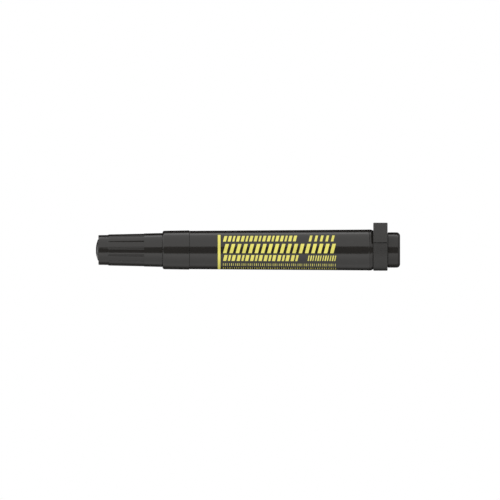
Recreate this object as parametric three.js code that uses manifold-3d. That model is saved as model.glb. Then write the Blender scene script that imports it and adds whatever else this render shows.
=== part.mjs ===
// Permanent marker for workshop use: a tapered plastic barrel with a fibre nib under a pull-off cap,
// and a collar with a magnet that turns on the rear plug.
// Millimetres. The marker lies along X, the cap towards -X, with the magnet's flat face up (+Z).
// The origin is on the surface that it lies on, under the middle of its length.

import * as THREE from "three";
import { mergeVertices } from "three/addons/utils/BufferGeometryUtils.js";
import Module from "manifold-3d";

const wasm = await Module();
wasm.setup();

// Roundness
const facets = 36; // flats round every turned piece, one of them facing straight down
const roundSteps = 3; // steps in each rounded edge

// Fits between pieces, measured on the radius or between faces
const pressGap = 0.05; // pieces pushed together for good
const pocketGap = 0.1; // magnet in the housing's pocket
const turnGap = 0.06; // collar on its groove, sealing lip on its seat
const capGap = 0.08; // cap's skirt on the neck
const endGap = 0.3; // end faces that stop short of each other

// Cap
const noseRadius = 6.62; // at the closed end
const noseLength = 4.2;
const gripStep = 0.265; // from the nose up to the front of the grooved grip
const gripRise = 0.6; // length of the step from the nose up to the grip
const gripRiseShare = 0.7; // share of the step that is reached half-way along that length
const gripLength = 16.1;
const gripDraft = 0.021; // growth of the grip's radius for each millimetre
const bandStep = 0.1; // from the grip's rear up to the plain band
const bandLength = 7.9;
const bandDraft = 0.022; // growth of the band's radius for each millimetre
const skirtLength = 12.3;
const skirtProud = 0.2; // how far the mouth stands out beyond the barrel
const mouldDraft = 0.015; // growth of the radius for each millimetre of nose and skirt
const shoulderRound = 0.9;
const noseRound = 0.3;
const mouthRound = 0.2;
const capEndWall = 1.5;
const capWall = 1.15; // under the band
const noseWall = 1.2; // under the nose and the grip's front
const skirtWall = 1.0; // at the shoulder
const shoulderWall = 1.6; // from the shoulder's front to the neck's room inside
const neckRoom = 0.54; // free length in front of the neck

// Grooves of the grip
const grooveCount = 14;
const grooveWidth = 0.7; // across the mouth, at the grip's rear
const grooveFloor = 0.1; // across the bottom
const grooveDepth = 0.3; // at the grip's rear; at its front they run out on the nose
const grooveClear = 1.0; // the cutter starts this far in front of the grip and reaches this far out of it
const grooveTurn = 32.1; // degrees of the first groove above the middle of the front side

// End plug of the cap
const domeRadius = 4.7;
const domeRim = 0.2;
const domeHeight = 0.93;
const domeSteps = 5;
const plugStemRadius = 3.2;
const plugStemReach = 1.0; // behind the cap's end wall
const plugBarb = 0.2; // how far the stem's head stands out behind the wall

// Inner sleeve of the cap
const sleeveWall = 0.9;
const sleeveEndWall = 0.8;
const lipWidth = 1.2;
const lipRamp = 0.5; // length of the slopes before and behind the lip
const lipHeight = 0.11; // how far the sealing lip stands in from the sleeve's wall

// Nib
const nibRadius = 2.45;
const nibReach = 4.9; // in front of the nose
const nibRoundLength = 2.3; // length of the bullet end
const nibRoundSteps = 6;
const nibTailReach = 2.6; // into the reservoir
const nibTailChamfer = 0.8;

// Front section
const noseTaper = 1.0; // from the seal seat down to the tip
const noseTaperLength = 2.4;
const seatLength = 3.0; // the sleeve's lip seals here
const coneLength = 10.85;
const coneGap = 0.15; // from the cone's wide end to the cap
const neckRound = 0.4;
const nibGripLength = 8.5; // length of the hole that grips the nib
const insertLength = 7.0; // in the barrel
const insertWall = 1.1;
const insertBoreInset = 2.2; // from the front of the neck to the insert's full bore

// Ink reservoir
const filmThickness = 0.13;
const reservoirInset = 3.4; // from the front of the neck to the reservoir

// Barrel
const barrelLength = 80.0;
const barrelFrontRadius = 8.54;
const barrelRearRadius = 9.11;
const barrelFrontWall = 1.2;
const barrelRearWall = 1.25;
const barrelFrontRound = 0.25;
const beadHeight = 0.09;
const beadWidth = 0.45;
const beadRamp = 0.15; // length of the bead's slopes
const barrelRibs = 6; // inside, along the barrel, they centre the reservoir
const barrelRibWidth = 0.9;
const capToBarrel = 0.14; // seam between the cap's mouth and the barrel

// Rear plug
const plugInsertLength = 8.0;
const flangeLength = 1.56;
const flangeTaper = 0.45; // from the barrel's radius down to the flange's rear edge
const flangeTaperLength = 1.0;
const knobStep = 1.25; // from the flange down to the knob
const snapStep = 0.31; // from the knob down to the collar's groove
const knobLength = 5.45;
const knobRound = 1.1;
const plugWall = 1.65; // under the collar's groove
const knobWall = 1.5; // at the flat end

// Magnet collar
const collarWidth = 6.37; // along the marker
const collarFrontPlay = 0.12;
const collarRearPlay = 0.12;
const ringWall = 1.64;
const ringRound = 0.35;
const housingSkirt = 3.43; // lower edge above the marker's axis
const housingCheek = 0.56; // thickness of that edge, outside the ring
const housingLean = 14; // degrees that the sides lean in
const housingRound = 0.5;
const housingEdge = 0.3; // bevel round the end faces
const housingRoof = 1.0;
const housingEndWall = 0.785; // between the magnet's pocket and each end face
const magnetLength = 12.0; // across the marker
const magnetHeight = 2.8;
const magnetSeatWall = 0.59; // left in the ring under the magnet

// Places along the axis, counted from the top of the cap's dome
const xNose = domeRim + domeHeight;
const xGrip = xNose + noseLength;
const xBand = xGrip + gripLength;
const xShoulder = xBand + bandLength;
const xMouth = xShoulder + skirtLength;
const xBarrel = xMouth + capToBarrel;
const xFlange = xBarrel + barrelLength;
const xCollarSeat = xFlange + flangeLength;
const xCollar = xCollarSeat + collarFrontPlay;
const xKnob = xCollar + collarWidth + collarRearPlay;
const xEnd = xKnob + knobLength;

// Radii that follow, cap
const noseRearRadius = noseRadius + mouldDraft * noseLength;
const gripRadius = noseRearRadius + gripStep;
const gripRearRadius = gripRadius + gripDraft * (gripLength - gripRise);
const bandRadius = gripRearRadius + bandStep;
const bandRearRadius = bandRadius + bandDraft * bandLength;
const skirtRearRadius = barrelFrontRadius + skirtProud;
const skirtRadius = skirtRearRadius - mouldDraft * (skirtLength - shoulderRound);
const skirtBore = skirtRadius - skirtWall;
const bandBore = bandRadius - capWall;
const noseBore = noseRadius - noseWall;
const stemHoleRadius = plugStemRadius + pressGap;
const sleeveRadius = noseBore - pressGap;
const sleeveBore = sleeveRadius - sleeveWall;
const lipRadius = sleeveBore - lipHeight;

// Radii that follow, marker
const seatRadius = lipRadius - turnGap;
const neckRadius = skirtBore - capGap;
const coneRadius = bandBore - coneGap;
const barrelFrontBore = barrelFrontRadius - barrelFrontWall;
const barrelRearBore = barrelRearRadius - barrelRearWall;
const insertRadius = barrelFrontBore - pressGap;
const insertBore = insertRadius - insertWall;
const filmRadius = insertBore - pressGap;
const fibreRadius = filmRadius - filmThickness - pressGap / 2;
const nibHoleRadius = nibRadius + pressGap;
const knobRadius = barrelRearRadius - knobStep;
const collarSeatRadius = knobRadius - snapStep;
const plugBore = collarSeatRadius - plugWall;

// Sizes that follow, collar
const ringBore = collarSeatRadius + turnGap;
const ringRadius = ringBore + ringWall;
const magnetFloor = ringBore + magnetSeatWall + pressGap;
const magnetWidth = collarWidth - 2 * housingEndWall - 2 * pocketGap;
const magnetStart = xCollar + (collarWidth - magnetWidth) / 2;
const pocketTop = magnetFloor + magnetHeight + pocketGap;
const housingTop = pocketTop + housingRoof;
const saddleRadius = ringRadius + pressGap;

// Places inside
const xNeckRoom = xShoulder + shoulderWall;
const xNeck = xNeckRoom + neckRoom;
const xSeat = xNeck - coneLength - seatLength;
const xFrontTip = xSeat - noseTaperLength;
const xNibTip = xFrontTip - nibReach;
const xSleeve = xNose + capEndWall + plugStemReach + endGap;
const xSleeveEnd = xSeat + seatLength - endGap;
const xPlugInsert = xFlange - plugInsertLength;
const xReservoirEnd = xPlugInsert - endGap;
const xReservoir = xNeck + reservoirInset;
const xNibTail = xReservoir + nibTailReach;

// The radius of the barrel's bore, which widens evenly from front to rear
function barrelBoreAt(x) {
  return barrelFrontBore + ((barrelRearBore - barrelFrontBore) * (x - xBarrel)) / barrelLength;
}

// Points of an arc about (x, r), from one angle to another in degrees: 0 points along +X, 90 outwards
function arc(x, r, radius, fromDegrees, toDegrees, steps = roundSteps) {
  const points = [];
  for (let i = 0; i <= steps; i++) {
    const angle = THREE.MathUtils.degToRad(fromDegrees + ((toDegrees - fromDegrees) * i) / steps);
    points.push([x + radius * Math.cos(angle), r + radius * Math.sin(angle)]);
  }
  return points;
}

// A piece turned about X from its profile of [x, radius] points, which run towards +X on the outside
function turned(profile) {
  const points = profile.map(([x, r]) => new THREE.Vector2(r, x));
  return new THREE.LatheGeometry(points, facets, Math.PI / facets).rotateZ(-Math.PI / 2);
}

// The same for a tube or a cup, whose profile closes on itself
function turnedTube(profile) {
  return turned([...profile, profile[0]]);
}

// An outline in Y and Z, drawn out along X from x
function drawnOut(shape, x, length, options = {}) {
  const geometry = new THREE.ExtrudeGeometry(shape, { depth: length, bevelEnabled: false, ...options });
  const across = new THREE.Matrix4().makeBasis(
    new THREE.Vector3(0, 1, 0),
    new THREE.Vector3(0, 0, 1),
    new THREE.Vector3(1, 0, 0),
  );
  return geometry.applyMatrix4(across).translate(x, 0, 0);
}

// A block by its lowest corner and its lengths
function block(x, y, z, lengthX, lengthY, lengthZ) {
  return new THREE.BoxGeometry(lengthX, lengthY, lengthZ).translate(
    x + lengthX / 2,
    y + lengthY / 2,
    z + lengthZ / 2,
  );
}

function solidOf(geometry) {
  const bare = geometry.clone();
  bare.deleteAttribute("normal");
  bare.deleteAttribute("uv");
  const merged = mergeVertices(bare, 1e-4);
  return new wasm.Manifold(
    new wasm.Mesh({
      numProp: 3,
      vertProperties: merged.attributes.position.array,
      triVerts: new Uint32Array(merged.index.array),
    }),
  );
}

function geometryOf(solid) {
  const mesh = solid.getMesh();
  const geometry = new THREE.BufferGeometry();
  geometry.setAttribute("position", new THREE.BufferAttribute(mesh.vertProperties, 3));
  geometry.setIndex(new THREE.BufferAttribute(mesh.triVerts, 1));
  geometry.computeVertexNormals();
  return geometry;
}

// Base less every tool, and base with every addition
function cut(base, tools) {
  return geometryOf(tools.reduce((made, tool) => made.subtract(solidOf(tool)), solidOf(base)));
}

function joined(base, additions) {
  return geometryOf(additions.reduce((made, more) => made.add(solidOf(more)), solidOf(base)));
}

// Cap: a turned shell, with grooves cut along the grip down to the nose's own surface
function capShell() {
  const round = Math.min(shoulderRound, skirtRadius - bandRearRadius);
  const shell = turnedTube([
    [xNose, stemHoleRadius],
    ...arc(xNose + noseRound, noseRadius - noseRound, noseRound, 180, 90),
    [xGrip, noseRearRadius],
    [xGrip + gripRise / 2, noseRearRadius + gripStep * gripRiseShare],
    [xGrip + gripRise, gripRadius],
    [xBand, gripRearRadius],
    [xBand, bandRadius],
    [xShoulder, bandRearRadius],
    ...arc(xShoulder + round, skirtRadius - round, round, 180, 90),
    ...arc(xMouth - mouthRound, skirtRearRadius - mouthRound, mouthRound, 90, 0),
    [xMouth, skirtBore],
    [xNeckRoom, skirtBore],
    [xNeckRoom, bandBore],
    [xBand, bandBore],
    [xBand - capWall, noseBore],
    [xNose + capEndWall, noseBore],
    [xNose + capEndWall, stemHoleRadius],
  ]);
  return cut(shell, capGrooves());
}

function capGrooves() {
  const slope = (grooveWidth - grooveFloor) / 2 / grooveDepth;
  const height = grooveDepth + grooveClear;
  const mouth = grooveFloor / 2 + slope * height;
  const section = new THREE.Shape([
    new THREE.Vector2(-grooveFloor / 2, 0),
    new THREE.Vector2(grooveFloor / 2, 0),
    new THREE.Vector2(mouth, height),
    new THREE.Vector2(-mouth, height),
  ]);
  // The bottom rises from the nose's surface at the grip's front to one depth below it at the rear
  const rise = (gripRearRadius - grooveDepth - noseRearRadius) / gripLength;
  const rising = new THREE.Matrix4().set(1, 0, 0, 0, 0, 1, 0, 0, rise, 0, 1, -rise * xGrip, 0, 0, 0, 1);
  const grooves = [];
  for (let i = 0; i < grooveCount; i++) {
    // A groove drawn at the top is turned about X to its place, counted from the front side (-Y) upwards
    const fromTop = THREE.MathUtils.degToRad(90 - grooveTurn - (360 * i) / grooveCount);
    const groove = drawnOut(section, xGrip - grooveClear, gripLength + grooveClear);
    grooves.push(groove.applyMatrix4(rising).translate(0, 0, noseRearRadius).rotateX(fromTop));
  }
  return grooves;
}

// Domed plug that closes the cap's end, with a barbed stem behind the end wall
function capEndPlug() {
  const sphere = (domeRadius ** 2 + domeHeight ** 2) / 2 / domeHeight;
  const half = THREE.MathUtils.radToDeg(Math.asin(domeRadius / sphere));
  const wallEnd = xNose + capEndWall;
  return turned([
    ...arc(sphere, 0, sphere, 180, 180 - half, domeSteps),
    [xNose, domeRadius],
    [xNose, plugStemRadius],
    [wallEnd, plugStemRadius],
    [wallEnd + plugStemReach / 2, plugStemRadius + plugBarb],
    [wallEnd + plugStemReach, plugStemRadius - plugBarb],
    [wallEnd + plugStemReach, 0],
  ]);
}

// Inner cup of the cap: closed in front of the nib, with a lip that seals on the front section's seat
function capInnerSleeve() {
  return turned([
    [xSleeve, 0],
    [xSleeve, sleeveRadius],
    [xSleeveEnd, sleeveRadius],
    [xSleeveEnd, sleeveBore],
    [xSleeveEnd - lipRamp, lipRadius],
    [xSleeveEnd - lipWidth, lipRadius],
    [xSleeveEnd - lipWidth - lipRamp, sleeveBore],
    [xSleeve + sleeveEndWall, sleeveBore],
    [xSleeve + sleeveEndWall, 0],
  ]);
}

// Nib holder: nose, seal seat, cone, neck under the cap's skirt, and the insert in the barrel
function frontSection() {
  return turnedTube([
    [xFrontTip, nibHoleRadius],
    [xFrontTip, seatRadius - noseTaper],
    [xSeat, seatRadius],
    [xSeat + seatLength, seatRadius],
    [xNeck, coneRadius],
    ...arc(xNeck + neckRound, neckRadius - neckRound, neckRound, 180, 90),
    [xBarrel - pressGap, neckRadius],
    [xBarrel - pressGap, insertRadius],
    [xBarrel + insertLength, insertRadius],
    [xBarrel + insertLength, insertBore],
    [xNeck + insertBoreInset, insertBore],
    [xFrontTip + nibGripLength, nibHoleRadius],
  ]);
}

// Bullet nib: an elliptic end, a rod, and a tail with a chamfer inside the reservoir
function nib() {
  const bullet = [];
  for (let i = 0; i <= nibRoundSteps; i++) {
    const angle = (Math.PI / 2) * (i / nibRoundSteps);
    bullet.push([xNibTip + nibRoundLength * (1 - Math.cos(angle)), nibRadius * Math.sin(angle)]);
  }
  return turned([
    ...bullet,
    [xNibTail - nibTailChamfer, nibRadius],
    [xNibTail, nibRadius - nibTailChamfer],
    [xNibTail, 0],
  ]);
}

// Fibre rod with a blind hole for the nib's tail
function inkReservoir() {
  return turned([
    [xNibTail + endGap, 0],
    [xNibTail + endGap, nibHoleRadius],
    [xReservoir, nibHoleRadius],
    [xReservoir, fibreRadius],
    [xReservoirEnd, fibreRadius],
    [xReservoirEnd, 0],
  ]);
}

function reservoirFilm() {
  return turnedTube([
    [xReservoir, filmRadius - filmThickness],
    [xReservoir, filmRadius],
    [xReservoirEnd, filmRadius],
    [xReservoirEnd, filmRadius - filmThickness],
  ]);
}

// Tapered tube with a bead round its rear rim, and ribs inside that centre the reservoir
function barrel() {
  const beadStart = xFlange - beadWidth;
  const tube = turnedTube([
    [xBarrel, barrelFrontBore],
    ...arc(xBarrel + barrelFrontRound, barrelFrontRadius - barrelFrontRound, barrelFrontRound, 180, 90),
    [beadStart, barrelRearRadius],
    [beadStart + beadRamp, barrelRearRadius + beadHeight],
    [xFlange - beadRamp, barrelRearRadius + beadHeight],
    [xFlange, barrelRearRadius],
    [xFlange, barrelRearBore],
  ]);
  return joined(tube, reservoirRibs());
}

function reservoirRibs() {
  const start = xBarrel + insertLength + endGap;
  const end = xPlugInsert - endGap;
  const inner = filmRadius + pressGap;
  const height = barrelBoreAt(start) + barrelFrontWall / 2 - inner;
  const ribs = [];
  for (let i = 0; i < barrelRibs; i++) {
    const rib = block(start, -barrelRibWidth / 2, inner, end - start, barrelRibWidth, height);
    ribs.push(rib.rotateX((2 * Math.PI * i) / barrelRibs));
  }
  return ribs;
}

// Rear plug: insert in the barrel, flange against its rim, groove for the collar, and the knob
function rearPlug() {
  return turned([
    [xEnd - knobWall, 0],
    [xEnd - knobWall, plugBore],
    [xPlugInsert, plugBore],
    [xPlugInsert, barrelBoreAt(xPlugInsert) - pressGap],
    [xFlange, barrelRearBore - pressGap],
    [xFlange, barrelRearRadius],
    [xCollarSeat - flangeTaperLength, barrelRearRadius],
    [xCollarSeat, barrelRearRadius - flangeTaper],
    [xCollarSeat, collarSeatRadius],
    [xKnob, collarSeatRadius],
    [xKnob, knobRadius],
    ...arc(xEnd - knobRound, knobRadius - knobRound, knobRound, 90, 0),
    [xEnd, 0],
  ]);
}

// Ring of the collar, with a flat seat for the magnet cut into its top
function magnetRing() {
  const end = xCollar + collarWidth;
  const ring = turnedTube([
    [xCollar, ringBore],
    ...arc(xCollar + ringRound, ringRadius - ringRound, ringRound, 180, 90),
    ...arc(end - ringRound, ringRadius - ringRound, ringRound, 90, 0),
    [end, ringBore],
  ]);
  return cut(ring, [magnetRoom(pressGap, magnetFloor - pressGap, ringRadius)]);
}

// The magnet's outline with a gap round it, from one height to another
function magnetRoom(gap, low, high) {
  return block(
    magnetStart - gap,
    -magnetLength / 2 - gap,
    low,
    magnetWidth + 2 * gap,
    magnetLength + 2 * gap,
    high - low,
  );
}

// Flat-topped housing: leaning sides that reach down round the ring, and a pocket for the magnet
function magnetHousing() {
  const lean = Math.tan(THREE.MathUtils.degToRad(housingLean));
  const saddleHalf = Math.sqrt(saddleRadius ** 2 - housingSkirt ** 2);
  const saddleAngle = Math.atan2(housingSkirt, saddleHalf);
  const lowHalf = saddleHalf + housingCheek;
  const topHalf = lowHalf - (housingTop - housingSkirt) * lean;
  const outline = new THREE.Shape();
  outline.moveTo(saddleHalf, housingSkirt);
  outline.lineTo(lowHalf, housingSkirt);
  outline.lineTo(topHalf + housingRound * lean, housingTop - housingRound);
  outline.quadraticCurveTo(topHalf, housingTop, topHalf - housingRound, housingTop);
  outline.lineTo(housingRound - topHalf, housingTop);
  outline.quadraticCurveTo(-topHalf, housingTop, -topHalf - housingRound * lean, housingTop - housingRound);
  outline.lineTo(-lowHalf, housingSkirt);
  outline.lineTo(-saddleHalf, housingSkirt);
  outline.absarc(0, 0, saddleRadius, Math.PI - saddleAngle, saddleAngle, true);
  const body = drawnOut(outline, xCollar + housingEdge, collarWidth - 2 * housingEdge, {
    bevelEnabled: true,
    bevelThickness: housingEdge,
    bevelSize: housingEdge,
    bevelOffset: -housingEdge,
    bevelSegments: 1,
    curveSegments: 4 * roundSteps,
  });
  return cut(body, [magnetRoom(pocketGap, 0, pocketTop)]);
}

function magnet() {
  return magnetRoom(0, magnetFloor, magnetFloor + magnetHeight);
}

// Finishes
const blackPlastic = { color: 0x232220, roughness: 0.3, metalness: 0 };
const satinPlastic = { color: 0x272625, roughness: 0.5, metalness: 0 };
const palePlastic = { color: 0xd8d6cf, roughness: 0.4, metalness: 0 };
const inkedFibre = { color: 0x16161a, roughness: 0.95, metalness: 0 };
const clearFilm = { color: 0xb9bdc0, roughness: 0.2, metalness: 0 };
const nickel = { color: 0xb6b2aa, roughness: 0.25, metalness: 1 };

const marker = new THREE.Group();
const capGroup = new THREE.Group();
const bodyGroup = new THREE.Group();
const collarGroup = new THREE.Group();
marker.add(capGroup, bodyGroup, collarGroup);

function add(group, name, geometry, finish) {
  const mesh = new THREE.Mesh(geometry, new THREE.MeshStandardMaterial(finish));
  mesh.name = name;
  group.add(mesh);
}

add(capGroup, "cap_shell", capShell(), blackPlastic);
add(capGroup, "cap_end_plug", capEndPlug(), blackPlastic);
add(capGroup, "cap_inner_sleeve", capInnerSleeve(), palePlastic);
add(bodyGroup, "front_section", frontSection(), blackPlastic);
add(bodyGroup, "nib", nib(), inkedFibre);
add(bodyGroup, "ink_reservoir", inkReservoir(), inkedFibre);
add(bodyGroup, "reservoir_film", reservoirFilm(), clearFilm);
add(bodyGroup, "barrel", barrel(), blackPlastic);
add(bodyGroup, "rear_plug", rearPlug(), blackPlastic);
add(collarGroup, "magnet_ring", magnetRing(), satinPlastic);
add(collarGroup, "magnet_housing", magnetHousing(), satinPlastic);
add(collarGroup, "magnet", magnet(), nickel);

// The ring stands on the flat that faces down
const axisHeight = ringRadius * Math.cos(Math.PI / facets);
marker.position.set(-xEnd / 2, 0, axisHeight);

export default marker;
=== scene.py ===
"""Product view of a workshop marker: pull-off cap, printed barrel, rear plug and a magnet collar.

Sizes are millimetres. Places along the marker are counted from the top of the cap's dome, and radii
from the marker's axis, until MarkerAxis puts a piece in the frame, which is in metres.
"""

import logging
import math
from dataclasses import dataclass
from enum import Enum

import bmesh
import bpy
import numpy as np
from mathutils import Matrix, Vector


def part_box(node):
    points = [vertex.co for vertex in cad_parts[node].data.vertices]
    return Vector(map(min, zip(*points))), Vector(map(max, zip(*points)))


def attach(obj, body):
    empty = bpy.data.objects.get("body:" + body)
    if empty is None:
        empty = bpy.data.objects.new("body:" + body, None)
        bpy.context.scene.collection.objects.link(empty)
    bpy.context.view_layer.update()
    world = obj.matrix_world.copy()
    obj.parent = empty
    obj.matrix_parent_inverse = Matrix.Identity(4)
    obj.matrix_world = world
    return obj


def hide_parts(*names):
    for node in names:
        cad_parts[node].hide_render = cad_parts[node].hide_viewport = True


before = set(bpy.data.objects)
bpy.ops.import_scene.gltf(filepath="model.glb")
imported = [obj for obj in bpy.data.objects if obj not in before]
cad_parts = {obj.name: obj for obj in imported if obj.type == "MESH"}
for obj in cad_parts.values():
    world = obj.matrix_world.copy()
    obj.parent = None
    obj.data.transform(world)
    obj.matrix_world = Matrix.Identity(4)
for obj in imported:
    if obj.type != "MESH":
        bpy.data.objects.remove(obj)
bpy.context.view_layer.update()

log = logging.getLogger("marker")

MM = 0.001
# Flats round a turned CAD piece, and columns round a turned piece made here
CAD_FACETS = 36
COLUMNS = 192
# Slack of comparisons and width of a sudden step in a surface, in millimetres
SLACK = 1e-6
STEP = 0.01
# Distance in metres within which two points are one
SAME_POINT = 1e-8

Colour = tuple[float, float, float]
Corner = tuple[float, float, float]

WHITE: Colour = (1.0, 1.0, 1.0)
NO_LIGHT: Colour = (0.0, 0.0, 0.0)


class Body(Enum):
    """Bodies of the frame that pieces ride on."""

    MARKER = "marker_body"
    CAP = "cap"
    COLLAR = "magnet_collar"


class Slot(Enum):
    """Material slots of the record."""

    BLACK = "black_plastic"
    SATIN = "satin_plastic"
    PALE = "pale_plastic"
    FIBRE = "inked_fibre"


@dataclass(frozen=True)
class Span:
    """Where a turned CAD node lies along the axis, and its largest radius, in millimetres."""

    start: float
    end: float
    radius: float


@dataclass(frozen=True)
class MarkerAxis:
    """The marker's axis in the frame, parallel to X.

    Attributes:
        start: X of the top of the cap's dome, in metres.
        height: height of the axis above the floor, in metres.
    """

    start: float
    height: float

    @classmethod
    def from_frame(cls) -> "MarkerAxis":
        """Finds the axis from the boxes of the cap's end plug and the barrel."""
        barrel_low, barrel_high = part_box("barrel")
        return cls(start=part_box("cap_end_plug")[0][0], height=(barrel_low[2] + barrel_high[2]) / 2)

    def span(self, node: str) -> Span:
        """Reads a turned node's span from its box.

        The CAD's turned pieces have a flat at each side, so the radius is half the box's width
        divided by the cosine of half a facet's angle.

        Args:
            node: the node's name.

        Returns:
            Its span.
        """
        low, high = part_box(node)
        return Span(
            start=(low[0] - self.start) / MM,
            end=(high[0] - self.start) / MM,
            radius=(high[1] - low[1]) / 2 / MM / math.cos(math.pi / CAD_FACETS),
        )

    def place(self, along: np.ndarray, across: np.ndarray, up: np.ndarray) -> np.ndarray:
        """Points of the frame from places along, across and above the axis.

        Args:
            along: millimetres from the top of the dome.
            across: millimetres towards +Y.
            up: millimetres above the axis.

        Returns:
            The points in metres, with a last dimension of 3.
        """
        along, across, up = np.broadcast_arrays(along, across, up)
        return np.stack([self.start + along * MM, across * MM, self.height + up * MM], axis=-1)

    def around(self, along: np.ndarray, radius: np.ndarray, angle: np.ndarray) -> np.ndarray:
        """Points of the frame on circles about the axis.

        The point is at minus radius times the cosine across, and radius times the sine above the axis.

        Args:
            along: millimetres from the top of the dome.
            radius: millimetres from the axis.
            angle: radians from the front side (-Y) upwards.

        Returns:
            The points in metres, with a last dimension of 3.
        """
        return self.place(along, -radius * np.cos(angle), radius * np.sin(angle))


def rounded(corners: list[Corner], steps: int = 5, closed: bool = False) -> np.ndarray:
    """A profile of straight runs with arcs in place of its corners.

    The arc of a corner touches both of its runs, at the rounding divided by the tangent of half the
    corner's angle, or nearer where the run is short: two corners share a run as their roundings
    are. Its points turn evenly about its centre from one touching point to the other.

    Args:
        corners: place, radius and rounding of each corner; a rounding of 0 keeps the corner.
        steps: runs in each arc.
        closed: whether the last corner joins the first.

    Returns:
        The profile's points, in shape (points, 2).
    """
    nearly_straight = math.radians(89.5)
    longest_share = 0.99
    points = np.array([corner[:2] for corner in corners], dtype=float)
    turn = np.linspace(0.0, 1.0, steps + 1)[:, None]
    parts = []
    for i, (corner, (_, _, rounding)) in enumerate(zip(points, corners)):
        if rounding == 0 or (not closed and i in (0, len(corners) - 1)):
            parts.append(corner[None])
            continue
        following = (i + 1) % len(corners)
        back, ahead = points[i - 1] - corner, points[following] - corner
        room = min(
            np.linalg.norm(back) * rounding / (rounding + corners[i - 1][2]),
            np.linalg.norm(ahead) * rounding / (rounding + corners[following][2]),
        )
        back, ahead = back / np.linalg.norm(back), ahead / np.linalg.norm(ahead)
        half = math.acos(np.clip(back @ ahead, -1, 1)) / 2
        if half > nearly_straight:
            parts.append(corner[None])
            continue
        reach = min(rounding / math.tan(half), longest_share * room)
        middle = (back + ahead) / np.linalg.norm(back + ahead)
        centre = corner + middle * reach * math.tan(half) / math.sin(half)
        first, last = corner + back * reach - centre, corner + ahead * reach - centre
        whole = math.pi - 2 * half
        arc = np.sin((1 - turn) * whole) * first + np.sin(turn * whole) * last
        parts.append(centre + arc / math.sin(whole))
    return np.concatenate(parts)


def support_places(
    profile: np.ndarray, closed: bool, longest: float = 4.0, margin: float = 0.1
) -> np.ndarray:
    """Places on a profile that keep the shading of its long runs even.

    A run longer than four margins gets a point one margin from either end, and points no farther
    apart than the longest step between those.

    Args:
        profile: points in shape (points, 2).
        closed: whether the last point joins the first.
        longest: longest step between two points.
        margin: distance of the added outer points from the run's ends.

    Returns:
        Every point's number, with fractions for the added points.
    """
    runs = np.roll(profile, -1, axis=0) - profile
    lengths = np.linalg.norm(runs if closed else runs[:-1], axis=1)
    parts = []
    for number, length in enumerate(lengths):
        parts.append([float(number)])
        if length > 4 * margin:
            count = max(2, math.ceil((length - 2 * margin) / longest) + 1)
            parts.append(number + np.linspace(margin, length - margin, count) / length)
    if not closed:
        parts.append([float(len(lengths))])
    return np.concatenate(parts)


def at_places(profile: np.ndarray, places: np.ndarray) -> np.ndarray:
    """Points of a profile at numbers with fractions, on the straight runs between its points."""
    looped = np.concatenate([profile, profile[:1]])
    number = np.arange(len(looped))
    return np.stack([np.interp(places, number, part) for part in looped.T], axis=-1)


def supported(profile: np.ndarray, closed: bool, longest: float = 4.0) -> np.ndarray:
    """The profile with the added points of its long runs."""
    return at_places(profile, support_places(profile, closed, longest))


def finish_mesh(mesh: bpy.types.Mesh, sharp: float) -> None:
    """Closes poles, turns faces outwards and shades the mesh smooth between sharp edges.

    Args:
        mesh: the mesh to finish.
        sharp: degrees between two faces from which their edge stays sharp.
    """
    shape = bmesh.new()
    shape.from_mesh(mesh)
    bmesh.ops.remove_doubles(shape, verts=shape.verts, dist=SAME_POINT)
    bmesh.ops.recalc_face_normals(shape, faces=shape.faces)
    shape.to_mesh(mesh)
    shape.free()
    mesh.shade_smooth()
    mesh.set_sharp_from_angle(angle=math.radians(sharp))
    mesh.validate()


def mesh_object(name: str, points: np.ndarray, faces: list) -> bpy.types.Object:
    """Makes an object of points and faces and links it to the scene.

    Args:
        name: the object's name.
        points: points in metres, with a last dimension of 3.
        faces: point numbers of each face.

    Returns:
        The object, at the origin.
    """
    mesh = bpy.data.meshes.new(name)
    mesh.from_pydata(points.reshape(-1, 3).tolist(), [], faces)
    made = bpy.data.objects.new(name, mesh)
    bpy.context.scene.collection.objects.link(made)
    return made


def grid_object(
    name: str, grid: np.ndarray, closed: bool, ends: bool = False, sharp: float = 40.0
) -> bpy.types.Object:
    """Makes an object from a grid of points whose columns run round the piece.

    Each quad joins a point with its neighbours in the next column and in the next row; the last
    column joins the first.

    Args:
        name: the object's name.
        grid: points in metres, in shape (rows, columns, 3).
        closed: whether the last row joins the first, as round a tube's wall.
        ends: whether the first and the last row are closed with a flat face.
        sharp: degrees from which an edge stays sharp.

    Returns:
        The object, at the origin.
    """
    rows, columns = grid.shape[:2]
    index = np.arange(rows * columns).reshape(rows, columns)
    below = np.roll(index, -1, axis=0)
    quads = np.stack(
        [index, np.roll(index, -1, axis=1), np.roll(below, -1, axis=1), below], axis=-1
    )
    faces = (quads if closed else quads[:-1]).reshape(-1, 4).tolist()
    if ends:
        faces += [index[0].tolist(), index[-1].tolist()]
    made = mesh_object(name, grid, faces)
    finish_mesh(made.data, sharp)
    return made


def turned_object(
    name: str,
    axis: MarkerAxis,
    profile: np.ndarray,
    closed: bool = False,
    longest: float = 4.0,
    columns: int = COLUMNS,
) -> bpy.types.Object:
    """Makes a turned piece: every point of the profile is carried round the axis on its own circle.

    Args:
        name: the object's name.
        axis: the marker's axis.
        profile: places and radii, in shape (points, 2); an open one starts and ends on the axis.
        closed: whether the profile closes on itself.
        longest: longest step along its straight runs.
        columns: points round each circle.

    Returns:
        The object, at the origin.
    """
    profile = supported(profile, closed, longest)
    angle = np.linspace(0, 2 * np.pi, columns, endpoint=False)[None, :]
    return grid_object(name, axis.around(profile[:, :1], profile[:, 1:], angle), closed)


def dress(piece: bpy.types.Object, material: bpy.types.Material) -> bpy.types.Object:
    """Gives a piece its one material and returns the piece."""
    piece.data.materials.clear()
    piece.data.materials.append(material)
    return piece


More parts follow.
